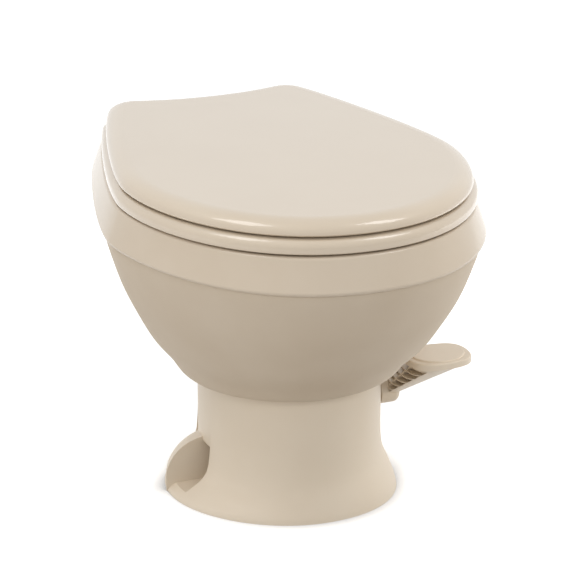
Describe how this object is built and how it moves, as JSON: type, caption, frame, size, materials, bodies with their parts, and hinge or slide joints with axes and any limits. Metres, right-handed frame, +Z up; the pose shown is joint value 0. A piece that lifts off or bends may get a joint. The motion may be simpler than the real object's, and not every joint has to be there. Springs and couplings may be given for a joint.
{
  "type": "rv toilet",
  "caption": "Low-profile motor home toilet: oval bowl with seat and lid on a narrow pedestal, flushed by a side foot pedal that turns a ball seal and opens a water valve.",
  "frame": {"origin": "on the floor, at the centre of the waste outlet's lower end", "axes": "+Z up, -Y to the front, +X towards the pedal"},
  "size_m": [0.3874, 0.5054, 0.353],
  "materials": {
    "pedestal_plastic": "satin moulded plastic, bone",
    "glazed_china": "glazed vitreous china, bone, opaque",
    "seat_enamel": "moulded wood with gloss enamel, bone",
    "black_plastic": "satin",
    "white_plastic": "satin",
    "hinge_plastic": "gloss, bone",
    "seal_rubber": "matt",
    "hose_rubber": "matt",
    "steel": "plain"
  },
  "bodies": {
    "base": {"pedestal": "pedestal_plastic", "bowl": "glazed_china", "flush_housing": "black_plastic", "floor_seal": "seal_rubber", "ball_seal": "seal_rubber", "shaft_bushes": "white_plastic", "clamp_front": "black_plastic", "clamp_rear": "black_plastic", "clamp_screws": "steel", "housing_screws": "steel", "spring_cartridge": "black_plastic", "cartridge_cap": "black_plastic", "return_spring": "steel", "water_valve": "white_plastic", "valve_bonnet": "white_plastic", "valve_screws": "steel", "inlet_fitting": "white_plastic", "supply_hose": "hose_rubber", "hose_clamps": "steel", "vacuum_breaker": "white_plastic", "breaker_cap": "white_plastic", "bowl_grommet": "seal_rubber", "hinge_brackets": "hinge_plastic", "hinge_bolts": "steel", "bolt_washers": "seal_rubber", "hinge_nuts": "white_plastic", "hinge_pins": "steel"},
    "flush": {"flush_ball": "white_plastic", "ball_shaft": "steel", "valve_cam": "white_plastic", "pedal": "pedestal_plastic", "pedal_screw": "steel"},
    "plunger": {"valve_plunger": "white_plastic"},
    "seat": {"seat_ring": "seat_enamel", "seat_bumpers": "seal_rubber", "seat_hinge_leaves": "hinge_plastic", "seat_leaf_screws": "steel"},
    "lid": {"lid": "seat_enamel", "lid_bumpers": "seal_rubber", "lid_hinge_leaves": "hinge_plastic", "lid_leaf_screws": "steel"}
  },
  "joints": [
    {"name": "pedal_press", "type": "hinge", "parent": "base", "child": "flush", "pos_m": [0, 0, 0.082], "axis": [1, 0, 0], "range_deg": [0, 60], "stiffness_Nm_per_rad": 4, "springref_deg": -20.05},
    {"name": "valve_push", "type": "slide", "parent": "base", "child": "plunger", "axis": [0, 1, 0], "range_m": [0, 0.007]},
    {"name": "seat_lift", "type": "hinge", "parent": "base", "child": "seat", "pos_m": [0, 0.2725, 0.333], "axis": [-1, 0, 0], "range_deg": [0, 95]},
    {"name": "lid_lift", "type": "hinge", "parent": "seat", "child": "lid", "pos_m": [0, 0.2725, 0.333], "axis": [-1, 0, 0], "range_deg": [0, 100]}
  ],
  "couplings": [
    {"joint": "valve_push", "follows": "pedal_press", "m_per_rad": 0.0066845}
  ]
}
